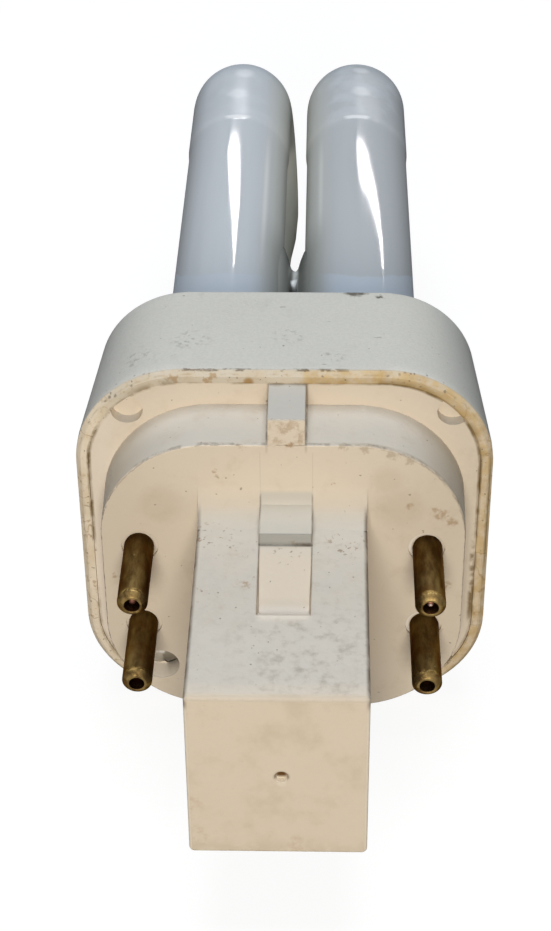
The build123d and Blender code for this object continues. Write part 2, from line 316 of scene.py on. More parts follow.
# A painted spot of pale floor seen through the neck's thin middle.
olive = tint(tree, spots(tree, spot, ((0.36, 36.6, 6.6), 0.52)), olive, (0.95, 0.96, 0.95, 1))
tree.links.new(olive, shader.inputs["Base Color"])
set_sockets(shader, {
    "Roughness": 0.4, "Specular IOR Level": 0.0,
    "Coat Weight": 0.25, "Coat Roughness": 0.15, "Coat IOR": 1.5,
})

# Stations of the saddle, in millimetres: how far aside, then the oval's middle, half length and half height.
# On the right its far end is drawn back a little towards the cap.
saddle = [
    (0, 37.8, 1.5, 1.0),
    (0.2, 37.85, 1.85, 1.03),
    (0.34, 37.7, 2.7, 1.1),
    (0.42, 35.5, 5.5, 1.2),
    (0.6, 35.9, 6.4, 1.3),
    (0.9, 36.4, 7.4, 1.55),
    (1.4, 36.8, 8.3, 2.0),
    (2.0, 36.95, 8.95, 2.5),
    (2.6, 36.9, 9.4, 3.0),
]
neck_middle = SEAT + Vector((neck_x, 0, leg_rise))
stations = [(-x, middle, long, high) for x, middle, long, high in reversed(saddle[1:])]
for x, middle, long, high in saddle:
    drawn_back = 1.2 * min(x, 0.3)
    stations.append((x, middle - drawn_back, long - drawn_back, high))
bm = bmesh.new()
loops = []
for x, middle, long, high in stations:
    stand = Matrix.Translation(neck_middle + Vector((x / 1000, middle / 1000, 0)))
    stand = stand @ Matrix.Diagonal((1, long / 1000, high / 1000, 1)) @ Matrix.Rotation(pi / 2, 4, "Y")
    ring = bmesh.ops.create_circle(bm, cap_ends=False, segments=neck_sides, radius=1.0, matrix=stand)["verts"]
    loops.append(list({e for v in ring for e in v.link_edges}))
for near, far in zip(loops, loops[1:]):
    bmesh.ops.bridge_loops(bm, edges=near + far)
bmesh.ops.recalc_face_normals(bm, faces=bm.faces)
finish_piece(bm, "glass_neck", bare_glass, ["glass_envelope"])

# Tube collar: ivory plastic shell, moulded with drafted sides and four openings that take the tubes.
# Its rim is chamfered. Years of handling have left ochre stains along the rim and scuffs elsewhere.
moulded_edge = 0.00006
moulded_fold = radians(28)
flat_fold = radians(0.5)


def specks(tree, place, per_mm, size, share):
    """Small scattered dots of a size in millimetres, in cells of which a share has one."""
    cells = node(tree, "ShaderNodeTexVoronoi", {"Vector": place, "Scale": per_mm})
    lot = node(tree, "ShaderNodeSeparateColor", {0: cells.outputs["Color"]})
    reach = times(tree, topped(tree, 0.35, lot.outputs[1]), size * per_mm)
    close = ease(tree, sums(tree, "DIVIDE", cells.outputs["Distance"], reach), 1.0, 0.5)
    return times(tree, close, sums(tree, "GREATER_THAN", lot.outputs[0], 1 - share))


def diagonal(tree, first, second):
    """Length of the diagonal of two lengths at right angles."""
    return sums(tree, "SQRT", sums(tree, "ADD", times(tree, first, first), times(tree, second, second)))


def outline(tree, place, middle_z, half_width, half_height, corner):
    """Distance out from a rounded oblong across the lamp; negative inside it."""
    x, _, z = split(tree, place)
    x = sums(tree, "SUBTRACT", sums(tree, "ABSOLUTE", x), half_width - corner)
    z = sums(tree, "ABSOLUTE", sums(tree, "SUBTRACT", z, middle_z))
    z = sums(tree, "SUBTRACT", z, half_height - corner)
    outside = diagonal(tree, together(tree, x, 0.0), together(tree, z, 0.0))
    inside = sums(tree, "MINIMUM", together(tree, x, z), 0.0)
    return sums(tree, "SUBTRACT", sums(tree, "ADD", outside, inside), corner)


def dull(tree, shader, wear, low, high):
    """Roughness that follows the wear, from low to high."""
    gloss = node(tree, "ShaderNodeMapRange", {"Value": wear, "To Min": low, "To Max": high}).outputs[0]
    tree.links.new(gloss, shader.inputs["Roughness"])


def roughen(tree, shader, height, strength, relief):
    """Bump that follows a height; relief is in metres."""
    bump = node(tree, "ShaderNodeBump", {"Height": height, "Strength": strength, "Distance": relief})
    tree.links.new(bump.outputs[0], shader.inputs["Normal"])


def moulding(node_name):
    """The node's shape as one skin, with its sharp moulded edges eased."""
    bm = bmesh.new()
    bm.from_mesh(nodes[node_name].data)
    bmesh.ops.remove_doubles(bm, verts=bm.verts, dist=1e-6)
    bmesh.ops.dissolve_limit(bm, angle_limit=flat_fold, verts=bm.verts, edges=bm.edges)
    sharp = [e for e in bm.edges if len(e.link_faces) == 2 and e.calc_face_angle() > moulded_fold]
    bmesh.ops.bevel(bm, geom=sharp, offset=moulded_edge, offset_type="OFFSET", segments=2, profile=0.5,
                    affect="EDGES", clamp_overlap=True, material=-1)
    return bm


def flat_faces(piece):
    """Keeps the moulded flats flat between their eased edges."""
    steady = piece.modifiers.new("flat_faces", "WEIGHTED_NORMAL")
    steady.weight = 100


ivory, tree, shader, spot = new_finish("collar_ivory")
x, depth, z = split(tree, spot)
ragged = frayed(tree, spot, 1.3, 0.5)
uneven = frayed(tree, spot, 3.0, 0.3)
patchy = ease(tree, cloud(tree, spot, 0.5, 4.0), 0.40, 0.58)
edge = outline(tree, frayed(tree, spot, 0.9, 0.14), middle_z=0.25, half_width=16.85, half_height=16.85,
               corner=8.9)
rim_face = ease(tree, depth, 5.95, 5.6)

# The shell's own ivory, with grime, painted shade on its sides, fine mottling and rubbed places on its top.
shell = tint(tree, cloud(tree, spot, 0.12, 4.0), (0.635, 0.622, 0.568, 1), (0.68, 0.667, 0.613, 1))
grime = ease(tree, cloud(tree, spot, 0.45, 6.0, 0.7), 0.55, 0.8)
shell = tint(tree, times(tree, grime, 0.25), shell, (0.40, 0.385, 0.34, 1))
shaded_left_side = times(tree, ease(tree, x, -11.0, -16.0), 0.25)
shaded_right_side = times(tree, ease(tree, x, 11.0, 16.0), 0.7)
shell = tint(tree, together(tree, shaded_left_side, shaded_right_side), shell, (0.46, 0.455, 0.42, 1))
speckled = ease(tree, cloud(tree, spot, 4.2, 3.0, 0.6), 0.36, 0.66)
shell = tint(tree, times(tree, speckled, 0.16), shell, (0.42, 0.415, 0.385, 1))
rubs = spots(tree, ragged, ((0.3, 11.2, 16.8), 1.7), ((3.9, 7.9, 16.8), 1.3), ((-7.6, 10.5, 16.6), 2.0),
             ((-11.5, 9.0, 15.5), 2.2))
rubs = times(tree, ease(tree, cloud(tree, ragged, 1.8, 5.0, 0.65), 0.50, 0.64), rubs)
shell = tint(tree, times(tree, rubs, 0.5), shell, (0.27, 0.255, 0.215, 1))

# The rim has yellowed, with painted shade along the top and painted light on the left, and it is weathered
# along the top and the right.
shell = tint(tree, rim_face, shell, (0.67, 0.575, 0.44, 1))
shaded_top_rim = times(tree, rim_face, ease(tree, z, 12.0, 15.5), 0.75)
shell = tint(tree, shaded_top_rim, shell, (0.54, 0.49, 0.41, 1))
lit_left_rim = times(tree, rim_face, ease(tree, x, -13.5, -15.5), 0.7)
shell = tint(tree, lit_left_rim, shell, (0.80, 0.70, 0.56, 1))
weathered = times(tree, within(tree, x, 1.6, 14.0, 0.3), ease(tree, z, 12.0, 15.0))
weathered = together(tree, ease(tree, x, 12.0, 14.5), weathered)
streaky = ease(tree, cloud(tree, spot, 0.9, 5.0, 0.6), 0.40, 0.62)
weathered = times(tree, weathered, topped(tree, 0.25, streaky))
shell = tint(tree, times(tree, rim_face, weathered, 0.6), shell, (0.57, 0.41, 0.20, 1))
flecks = times(tree, rim_face, ease(tree, cloud(tree, spot, 2.2, 5.0, 0.7), 0.54, 0.70))
shell = tint(tree, times(tree, flecks, 0.4), shell, (0.44, 0.30, 0.135, 1))
soiled = together(
    tree,
    spots(tree, spot, ((3.9, 5.3, 16.4), 3.6), ((9.0, 5.3, 16.2), 4.6), ((13.6, 5.3, 13.4), 4.0)),
    times(tree, ease(tree, x, 13.0, 15.6), 0.9),
    times(tree, ease(tree, x, -13.0, -15.5), 0.35),
    0.34,
)
ochre = times(tree, ease(tree, cloud(tree, spot, 0.6, 5.0, 0.6), 0.34, 0.74), rim_face, soiled)
shell = tint(tree, times(tree, ochre, 0.75), shell, (0.46, 0.31, 0.13, 1))
run_off = spots(tree, spot, ((3.4, 5.3, 16.3), 2.6), ((8.0, 5.3, 16.0), 5.5), ((12.6, 5.3, 13.9), 4.5))
run_off = times(tree, ease(tree, edge, -0.15, -0.9), rim_face, run_off)
run_off = times(tree, run_off, topped(tree, 0.05, cloud(tree, spot, 0.8, 5.0), 0.7))
shell = tint(tree, run_off, shell, (0.47, 0.315, 0.125, 1))
tide = within(tree, cloud(tree, spot, 0.30, 4.0, 0.5, 0.3), 0.50, 0.512, 0.008)
tide = times(tree, tide, rim_face, ease(tree, sums(tree, "ABSOLUTE", x), 13.0, 15.0), 0.6)
shell = tint(tree, tide, shell, (0.30, 0.185, 0.07, 1))
blots = spots(tree, frayed(tree, spot, 2.4, 1.1), ((-5.6, 5.3, 16.7), 0.45), ((-5.9, 5.3, 16.3), 0.4),
              ((-8.74, 5.3, 16.5), 0.55))
round_blot = spots(tree, spot, ((-2.75, 5.3, 16.25), 0.55))
blots = together(tree, times(tree, blots, 0.6), times(tree, round_blot, 0.85))
shell = tint(tree, times(tree, blots, rim_face), shell, (0.33, 0.19, 0.065, 1))

# Dirt has settled in lines along the rim: by the seam with the cap, in a groove, at the lip and in a crease.
tracked = spots(tree, spot, ((-16.0, 5.3, 6.5), 7.5), ((9.1, 5.3, 15.8), 5.5), ((12.3, 5.3, 14.5), 4.0),
                ((14.9, 5.3, 10.8), 4.5), ((15.7, 5.3, 5.0), 6.0))
tracked = sums(tree, "ADD", times(tree, tracked, 0.45), times(tree, patchy, 0.5))
seam = times(tree, ease(tree, edge, -0.82, -0.96), rim_face, tracked)
smudge = spots(tree, spot, ((8.5, 5.3, 15.8), 6.0), ((14.9, 5.3, 10.8), 3.5), ((-10.5, 5.3, 15.3), 3.0))
smudge = times(tree, ease(tree, edge, -0.45, -1.0), rim_face, patchy, smudge)
outer_line = times(tree, within(tree, edge, -0.27, -0.16, 0.06), rim_face)
outer_line = times(tree, outer_line, ease(tree, x, 14.0, 15.5), within(tree, z, -2.0, 8.5, 2.0))
seam = together(tree, seam, times(tree, smudge, 0.6), times(tree, outer_line, 0.8))
shell = tint(tree, times(tree, seam, 0.9), shell, (0.17, 0.108, 0.036, 1))
crease = ease(tree, cloud(tree, spot, 1.1, 5.0), 0.46, 0.60)
crease = times(tree, within(tree, edge, -0.30, -0.22, 0.05), rim_face, crease)
shell = tint(tree, times(tree, crease, 0.35), shell, (0.30, 0.20, 0.09, 1))
groove = times(tree, within(tree, edge, -0.50, -0.45, 0.05), rim_face, patchy, ease(tree, z, 8.0, 5.0), 0.5)
lip = times(tree, within(tree, edge, -0.07, 0.02, 0.05), within(tree, depth, 5.5, 5.95))
lip = times(tree, lip, within(tree, x, -9.0, 5.0, 1.0))
lip = times(tree, lip, ease(tree, cloud(tree, spot, 0.9, 5.0), 0.46, 0.56), ease(tree, z, 13.0, 15.0))
lines = together(tree, times(tree, groove, 0.7), times(tree, lip, 0.75))
shell = tint(tree, lines, shell, (0.085, 0.055, 0.028, 1))

# Specks all over, crumbs at the rim's corners, and a scuff at the back of the top.
dots = specks(tree, uneven, per_mm=0.7, size=0.11, share=0.3)
fine = specks(tree, uneven, per_mm=1.6, size=0.07, share=0.25)
stretched = node(tree, "ShaderNodeMapping", {"Vector": uneven, "Scale": (0.28, 1.0, 1.0)}).outputs[0]
dashes = specks(tree, stretched, per_mm=0.9, size=0.10, share=0.25)
rim_dots = times(tree, specks(tree, uneven, per_mm=2.2, size=0.09, share=0.35), rim_face)
crumbs = specks(tree, ragged, per_mm=2.2, size=0.16, share=0.5)
crumbs = times(tree, crumbs, within(tree, edge, -0.42, 0.05, 0.1), ease(tree, depth, 6.6, 6.2))
crumbs = times(tree, crumbs, spots(tree, spot, ((-13.0, 5.6, 14.6), 4.5), ((11.0, 5.6, 15.5), 4.0)))
scuff = spots(tree, frayed(tree, spot, 2.0, 1.2), ((5.5, 18.9, 16.2), 0.9), ((6.2, 18.9, 16.2), 0.7),
              ((7.8, 18.2, 16.3), 0.5))
dirt = together(
    tree,
    times(tree, dots, 0.55),
    times(tree, fine, 0.5),
    times(tree, dashes, 0.4),
    times(tree, together(tree, rim_dots, crumbs), 0.6),
    times(tree, scuff, 0.85),
)
shell = tint(tree, dirt, shell, (0.10, 0.085, 0.065, 1))

tree.links.new(shell, shader.inputs["Base Color"])
set_sockets(shader, {"Specular IOR Level": 0.0})
dull(tree, shader, cloud(tree, spot, 1.2, 5.0), 0.42, 0.62)
grain = sums(tree, "SUBTRACT", times(tree, cloud(tree, spot, 3.0, 5.0), 0.6), times(tree, dirt, 0.8))
grain = sums(tree, "SUBTRACT", grain, times(tree, lines, 0.8))
roughen(tree, shader, grain, strength=0.4, relief=0.00008)
collar = finish_piece(moulding("tube_collar"), "tube_collar_shell", ivory, ["tube_collar"])
flat_faces(collar)

# Capping cement: grey putty that holds the tube ends, out of sight inside the collar.
# It was pressed round the glass and baked hard.
cement, tree, shader, spot = new_finish("baked_cement")
putty = tint(tree, cloud(tree, spot, 1.5, 6.0, 0.7), (0.36, 0.34, 0.29, 1), (0.52, 0.49, 0.43, 1))
tree.links.new(putty, shader.inputs["Base Color"])
set_sockets(shader, {"Roughness": 0.9})
roughen(tree, shader, cloud(tree, spot, 3.0, 6.0), strength=0.6, relief=0.0002)
nodes["capping_cement"].data.materials.clear()
nodes["capping_cement"].data.materials.append(cement)

# Lead-in wires: drawn nickel-iron, one to each pin, out of sight in the collar and the cap.
# They run from the sealed tube ends to the tails of the pins, where they are crimped.
wire, tree, shader, spot = new_finish("drawn_wire")
drawn = tint(tree, cloud(tree, spot, 3.0, 4.0), (0.30, 0.26, 0.22, 1), (0.48, 0.42, 0.36, 1))
tree.links.new(drawn, shader.inputs["Base Color"])
set_sockets(shader, {"Metallic": 1.0, "Roughness": 0.4})
for place in ("upper_left", "lower_left", "upper_right", "lower_right"):
    nodes["lead_wire_" + place].data.materials.clear()
    nodes["lead_wire_" + place].data.materials.append(wire)

# Base cap: plate, boss, key rib and hollow guide post, moulded in one from ivory plastic that has yellowed.
# It is pressed into the collar's rim. It has brown stains, specks, a chipped edge and a broken-out hole.
mould_middle = 0.3
cap, tree, shader, spot = new_finish("cap_ivory")
x, depth, z = split(tree, spot)
face_x, _, face_z = split(tree, node(tree, "ShaderNodeNewGeometry").outputs["Normal"])
sideways = sums(tree, "ABSOLUTE", face_x)
upward = ease(tree, face_z, 0.55, 0.95)
off_centre = sums(tree, "ABSOLUTE", sums(tree, "SUBTRACT", x, mould_middle))
half_x = sums(tree, "ABSOLUTE", x)
ragged = frayed(tree, spot, 2.4, 0.9)
uneven = frayed(tree, spot, 3.0, 0.3)
patchy = ease(tree, cloud(tree, spot, 0.5, 4.0), 0.38, 0.60)
body = tint(tree, cloud(tree, spot, 0.10, 4.0), (0.645, 0.557, 0.443, 1), (0.690, 0.602, 0.488, 1))
# Upward faces are greyer: dust, and painted cool light from above.
dust_and_top_light = times(tree, upward, topped(tree, 0.5, cloud(tree, spot, 0.5, 5.0), 0.5))
body = tint(tree, dust_and_top_light, body, (0.575, 0.547, 0.497, 1))
mottle = ease(tree, cloud(tree, spot, 0.35, 6.0, 0.68), 0.50, 0.76)
body = tint(tree, times(tree, mottle, 0.30), body, (0.47, 0.365, 0.245, 1))

# The top of the post is blotched, cleaner towards its end, and smeared.
on_post = times(tree, within(tree, z, 7.45, 7.75), ease(tree, depth, -2.0, -4.0))
blotch = times(tree, on_post, ease(tree, cloud(tree, ragged, 1.3, 6.0, 0.68), 0.55, 0.70))
body = tint(tree, times(tree, blotch, 0.28), body, (0.38, 0.32, 0.25, 1))
cleaner = times(tree, on_post, ease(tree, depth, -10.0, -17.0), 0.4)
body = tint(tree, cleaner, body, (0.66, 0.63, 0.575, 1))
to_end = times(tree, on_post, ease(tree, depth, -19.6, -21.6), 0.55)
body = tint(tree, to_end, body, (0.75, 0.65, 0.53, 1))
smear = times(tree, ease(tree, cloud(tree, spot, 1.1, 4.0, 0.6), 0.44, 0.82), on_post)
smear = times(tree, smear, topped(tree, 0.3, spots(tree, spot, ((2.5, -17.0, 7.6), 8.0))))
body = tint(tree, times(tree, smear, 0.55), body, (0.36, 0.315, 0.26, 1))

# The recess has stayed clean, and painted light brightens its far end and the ramp out.
in_recess = times(tree, ease(tree, depth, -4.3, -4.5), ease(tree, depth, -13.4, -11.8))
in_recess = times(tree, in_recess, ease(tree, off_centre, 2.15, 2.0), ease(tree, z, 7.7, 7.4))
in_recess = times(tree, in_recess, ease(tree, z, 6.2, 6.3))
body = tint(tree, times(tree, in_recess, 0.75), body, (0.64, 0.555, 0.45, 1))
lit_far_end = times(tree, within(tree, depth, -13.2, -10.6, 0.7), ease(tree, off_centre, 2.2, 1.6))
lit_far_end = times(tree, lit_far_end, ease(tree, z, 6.2, 6.3))
body = tint(tree, times(tree, lit_far_end, 0.7), body, (0.78, 0.70, 0.60, 1))
ramp_foot = times(tree, within(tree, depth, -11.6, -10.8, 0.4), ease(tree, z, 7.2, 7.0))
ramp_head = times(tree, within(tree, depth, -13.3, -12.5, 0.4), 0.3)
lit_ramp = times(tree, together(tree, ramp_foot, ramp_head), ease(tree, off_centre, 2.3, 1.7))
lit_ramp = times(tree, lit_ramp, within(tree, z, 6.2, 7.7, 0.05))
body = tint(tree, times(tree, lit_ramp, 0.65), body, (0.92, 0.84, 0.73, 1))

# Painted shade darkens the post's root; dust and painted cool light from above grey its top and the short
# step on it.
on_root = ease(tree, half_x, 6.75, 6.7)
shaded_root = times(tree, on_root, ease(tree, z, 10.3, 8.4), ease(tree, z, 7.6, 7.8))
shaded_root = times(tree, shaded_root, within(tree, depth, -2.4, 0.1, 0.15))
body = tint(tree, times(tree, shaded_root, 0.5), body, (0.50, 0.445, 0.37, 1))
root_dust_and_top_light = times(tree, on_root, ease(tree, z, 10.2, 8.7), ease(tree, z, 7.4, 7.55))
root_dust_and_top_light = times(tree, root_dust_and_top_light, ease(tree, depth, -0.4, -1.6), ease(tree, depth, -4.2, -2.4))
body = tint(tree, times(tree, root_dust_and_top_light, 0.6), body, (0.555, 0.525, 0.47, 1))
on_step = times(tree, ease(tree, off_centre, 2.1, 2.0), within(tree, z, 8.2, 9.5, 0.25))
on_step = times(tree, on_step, within(tree, depth, -4.2, 0.1, 0.05))
body = tint(tree, times(tree, on_step, 0.8), body, (0.565, 0.535, 0.47, 1))
# Painted light towards the step's back, and painted shade on its fillet.
lit_step_back = times(tree, on_step, ease(tree, depth, -3.4, -0.8), ease(tree, depth, -0.2, -0.5), 0.3)
body = tint(tree, lit_step_back, body, (0.76, 0.71, 0.62, 1))
shaded_step_fillet = times(tree, on_step, ease(tree, z, 8.60, 8.63), 0.3)
body = tint(tree, shaded_step_fillet, body, (0.40, 0.365, 0.30, 1))
# The step's end is grey.
step_end = times(tree, within(tree, depth, -4.5, -4.2, 0.04), ease(tree, off_centre, 2.13, 2.07))
step_end = times(tree, step_end, ease(tree, z, 7.5, 7.6))
body = tint(tree, times(tree, step_end, 0.95), body, (0.335, 0.335, 0.312, 1))

# The key rib is greyer on top with dust and painted cool light from above, and stained brown in front.
key_top_dust_and_light = times(tree, ease(tree, z, 15.9, 16.0), ease(tree, off_centre, 1.5, 1.4))
body = tint(tree, times(tree, key_top_dust_and_light, 0.65), body, (0.53, 0.515, 0.475, 1))
key_front = times(tree, ease(tree, z, 13.6, 14.2), ease(tree, off_centre, 1.55, 1.4))
key_front = times(tree, key_front, ease(tree, depth, 0.5, 0.3))
key_stain = times(tree, key_front, ease(tree, cloud(tree, spot, 1.1, 6.0, 0.7), 0.44, 0.64))
body = tint(tree, times(tree, key_stain, 0.6), body, (0.36, 0.245, 0.14, 1))

# The end of the post is clouded and soiled low down, with reddish stains, painted shade along its upper edge
# and painted light on its side edges.
post_end = ease(tree, depth, -21.3, -21.6)
body = tint(tree, times(tree, post_end, 0.8), body, (0.72, 0.62, 0.485, 1))
end_cloud = times(tree, post_end, ease(tree, cloud(tree, spot, 0.22, 6.0, 0.62), 0.47, 0.68))
body = tint(tree, times(tree, end_cloud, 0.35), body, (0.50, 0.39, 0.265, 1))
red_stain = spots(tree, frayed(tree, spot, 0.6, 2.0), ((-6.2, -21.9, -3.0), 1.6), ((1.6, -21.9, -7.2), 1.5),
                  ((-6.0, -21.9, -6.0), 1.4))
red_stain = times(tree, red_stain, ease(tree, cloud(tree, spot, 1.1, 6.0, 0.7), 0.40, 0.66))
body = tint(tree, times(tree, red_stain, 0.35), body, (0.46, 0.30, 0.18, 1))
lower_soil = times(tree, post_end, ease(tree, z, -5.8, -7.4))
lower_soil = times(tree, lower_soil, ease(tree, cloud(tree, spot, 0.5, 5.0), 0.40, 0.62))
body = tint(tree, times(tree, lower_soil, 0.3), body, (0.48, 0.38, 0.26, 1))
shaded_front_edge = times(tree, ease(tree, depth, -21.5, -21.7), ease(tree, z, 7.2, 7.4))
body = tint(tree, times(tree, shaded_front_edge, 0.75), body, (0.52, 0.455, 0.37, 1))
lit_side_edges = times(tree, ease(tree, sideways, 0.2, 0.7), ease(tree, depth, -20.6, -21.4))
body = tint(tree, times(tree, lit_side_edges, 0.8), body, (0.92, 0.82, 0.67, 1))

# Brown spots and soft soil on the seat face and the post.
brown = spots(
    tree, ragged,
    ((-5.32, 0, 11.44), 0.30), ((-5.1, 0, 10.96), 0.25), ((0.59, 0, 13.87), 0.35), ((9.99, 0, 8.18), 0.45),
    ((12.46, 0, 7.32), 0.75), ((12.0, 0, 7.7), 0.5), ((13.4, 0, 6.6), 0.6), ((-3.13, 0, 7.67), 0.22),
    ((-3.54, 0, 6.87), 0.22), ((3.93, 0, 10.27), 0.2), ((5.6, -0.6, 7.6), 0.55), ((-2.7, -9.2, 7.6), 0.6),
    ((13.2, 0, 0.2), 0.6), ((-13.6, 0, 0.9), 0.35), ((12.8, 0, -4.6), 0.35),
)
brown = times(tree, brown, ease(tree, cloud(tree, spot, 2.2, 4.0), 0.34, 0.58))
body = tint(tree, times(tree, brown, 0.65), body, (0.34, 0.215, 0.105, 1))
soft_soil = spots(tree, ragged, ((-9.8, 0, 8.2), 2.6), ((9.4, 0, 8.0), 2.8), ((8.2, 0, 10.6), 1.8))
seat_sides = times(tree, ease(tree, half_x, 8.0, 13.5), ease(tree, depth, 0.4, 0.2), 0.5)
soft_soil = together(tree, soft_soil, seat_sides)
body = tint(tree, times(tree, soft_soil, 0.25), body, (0.47, 0.365, 0.245, 1))

# The boss: chips and wear along its edge, painted light at the wall's foot and on the plate's ledge at the
# left, and painted shade round the corners.
boss_line = outline(tree, frayed(tree, spot, 1.6, 0.30), middle_z=0.5, half_width=14.5, half_height=13.4,
                    corner=9.0)
chips = spots(tree, frayed(tree, spot, 2.6, 1.4), ((4.6, 0, 13.8), 0.5), ((6.4, 0, 13.6), 0.5),
              ((8.47, 0, 13.1), 0.6), ((9.87, 0, 12.5), 0.5), ((-3.2, 0, 13.9), 0.4))
body = tint(tree, times(tree, chips, 0.5), body, (0.36, 0.28, 0.185, 1))
worn = times(tree, within(tree, boss_line, -0.10, 0.10, 0.06), ease(tree, depth, 0.6, 0.3))
worn = times(tree, worn, ease(tree, x, 3.0, 7.0), ease(tree, z, -2.0, 2.0))
body = tint(tree, times(tree, worn, 0.5), body, (0.44, 0.375, 0.285, 1))
lit_wall_foot = times(tree, ease(tree, depth, 1.6, 4.4), ease(tree, depth, 5.43, 5.36))
lit_wall_foot = times(tree, lit_wall_foot, ease(tree, boss_line, 0.75, 0.5), ease(tree, z, 2.0, 6.0))
lit_wall_foot = times(tree, lit_wall_foot, topped(tree, 0.06, ease(tree, x, -6.0, -11.0), 0.36))
body = tint(tree, lit_wall_foot, body, (0.80, 0.735, 0.63, 1))
shaded_corners = times(tree, ease(tree, half_x, 8.5, 14.0), within(tree, depth, 0.25, 5.3))
shaded_corners = times(tree, shaded_corners, ease(tree, boss_line, 0.6, 0.3), ease(tree, z, 3.0, 6.0))
shaded_corners = times(tree, shaded_corners, topped(tree, 0.3, ease(tree, x, 9.0, 13.0), 0.18))
body = tint(tree, shaded_corners, body, (0.30, 0.27, 0.215, 1))
lit_ledge = times(tree, within(tree, depth, 5.2, 5.6), ease(tree, x, -12.0, -14.8))
body = tint(tree, times(tree, lit_ledge, 0.6), body, (0.76, 0.675, 0.575, 1))

# The seam with the collar, with a crack beside it on the right.
plate_line = outline(tree, frayed(tree, spot, 0.9, 0.16), middle_z=0.25, half_width=15.82, half_height=15.82,
                     corner=8.0)
on_plate = ease(tree, depth, 4.8, 5.2)
tracked = spots(tree, spot, ((-15.9, 5.4, 6.5), 7.5), ((9.1, 5.4, 15.6), 5.5), ((12.3, 5.4, 14.3), 4.0),
                ((14.8, 5.4, 10.7), 4.5), ((15.6, 5.4, 5.0), 6.0), ((15.3, 5.4, -6.0), 5.0))
tracked = sums(tree, "ADD", times(tree, tracked, 0.5), times(tree, patchy, 0.5))
seam = times(tree, ease(tree, plate_line, -0.26, -0.06), on_plate, tracked)
cracked = times(tree, ease(tree, plate_line, -0.55, -0.20), on_plate)
cracked = times(tree, cracked, ease(tree, x, 12.0, 13.5), within(tree, z, -8.0, 0.5, 1.5))
cracked = times(tree, cracked, ease(tree, cloud(tree, spot, 0.8, 5.0), 0.36, 0.56))
body = tint(tree, times(tree, together(tree, seam, cracked), 0.9), body, (0.17, 0.108, 0.036, 1))

# Dark lines along the boss's edge and the step's and recess's edges; dirt at the key and the step's foot,
# faint mould lines, and painted shade along the post's sides and on the recess's side walls.
chipped = ease(tree, cloud(tree, spot, 0.9, 5.0), 0.42, 0.56)
crack = spots(tree, spot, ((-14.5, 0.1, -2.5), 7.0), ((14.5, 0.1, 5.0), 4.0))
arris = times(tree, within(tree, boss_line, -0.02, 0.03, 0.05), ease(tree, depth, 0.5, 0.25))
arris = times(tree, arris, together(tree, chipped, crack))
arris = times(tree, arris, topped(tree, 0.6, ease(tree, x, -12.5, -14.0), 0.3))
# Painted shade along the post's top edges.
shaded_side_line = times(tree, within(tree, half_x, 6.42, 6.72, 0.16), within(tree, z, 6.6, 9.0, 0.4))
shaded_side_line = times(tree, shaded_side_line, ease(tree, depth, -0.3, -1.2))
strip_line = times(tree, within(tree, off_centre, 1.97, 2.10, 0.06), ease(tree, depth, -12.8, -7.0))
strip_line = times(tree, strip_line, ease(tree, depth, 0.3, -0.2), ease(tree, z, 6.4, 6.5))
strip_line = times(tree, strip_line, ease(tree, z, 9.6, 9.0))
# Painted shade on the recess's side walls.
shaded_recess_side = times(tree, ease(tree, sideways, 0.5, 0.8), ease(tree, off_centre, 2.2, 2.1))
shaded_recess_side = times(tree, shaded_recess_side, ease(tree, depth, -12.8, -7.0), ease(tree, depth, -4.1, -4.6))
shaded_recess_side = times(tree, shaded_recess_side, within(tree, z, 6.3, 7.6, 0.03))
key_line = times(tree, within(tree, off_centre, 1.44, 1.62, 0.08), ease(tree, z, 13.0, 13.6))
key_line = times(tree, key_line, ease(tree, depth, -0.2, 0.2))
inner_lines_and_shade = together(tree, strip_line, times(tree, shaded_recess_side, 0.75), key_line)
step_dirt = times(tree, step_end, ease(tree, z, 7.90, 7.62), topped(tree, 0.35, ease(tree, x, 0.0, 2.0)))
step_dirt = times(tree, step_dirt, topped(tree, 0.4, patchy, 0.6))
mould_line = times(tree, within(tree, off_centre, 2.02, 2.06, 0.04), within(tree, z, 9.4, 13.2, 0.3))
mould_line = times(tree, mould_line, ease(tree, depth, 0.3, 0.2))
lines = together(
    tree,
    arris,
    times(tree, shaded_side_line, 0.8, topped(tree, 0.6, patchy, 0.4)),
    times(tree, inner_lines_and_shade, 0.58, topped(tree, 0.5, patchy, 0.5)),
    times(tree, step_dirt, 0.75),
    times(tree, mould_line, 0.2),
)
body = tint(tree, lines, body, (0.105, 0.072, 0.042, 1))

# Moulded marks: the gate on the post's end, and a shallow dish round each pin, with a painted highlight on
# the inner rims of the right-hand dishes.
gate = times(tree, spots(tree, spot, ((0.3, -21.75, -0.02), 0.75)), ease(tree, z, -0.42, -0.05))
body = tint(tree, gate, body, (0.11, 0.055, 0.018, 1))
gate_lip = spots(tree, spot, ((0.32, -21.9, -0.62), 0.5))
body = tint(tree, times(tree, gate_lip, 0.35), body, (0.84, 0.75, 0.62, 1))
dish_x = sums(tree, "SUBTRACT", half_x, 11.45)
dish_z = sums(tree, "SUBTRACT", sums(tree, "ABSOLUTE", z), 4.0)
from_pin = diagonal(tree, dish_x, dish_z)
in_dish = times(tree, within(tree, depth, -0.1, 0.4), ease(tree, dish_x, 0.9, -0.4))
dish_highlight = times(tree, within(tree, from_pin, 1.22, 1.46, 0.04), in_dish, ease(tree, x, -12.0, 0.0))
body = tint(tree, times(tree, dish_highlight, 0.7), body, (0.77, 0.72, 0.645, 1))
dish_edge = times(tree, within(tree, from_pin, 1.45, 1.52, 0.05), in_dish, patchy)
body = tint(tree, times(tree, dish_edge, 0.15), body, (0.25, 0.19, 0.13, 1))

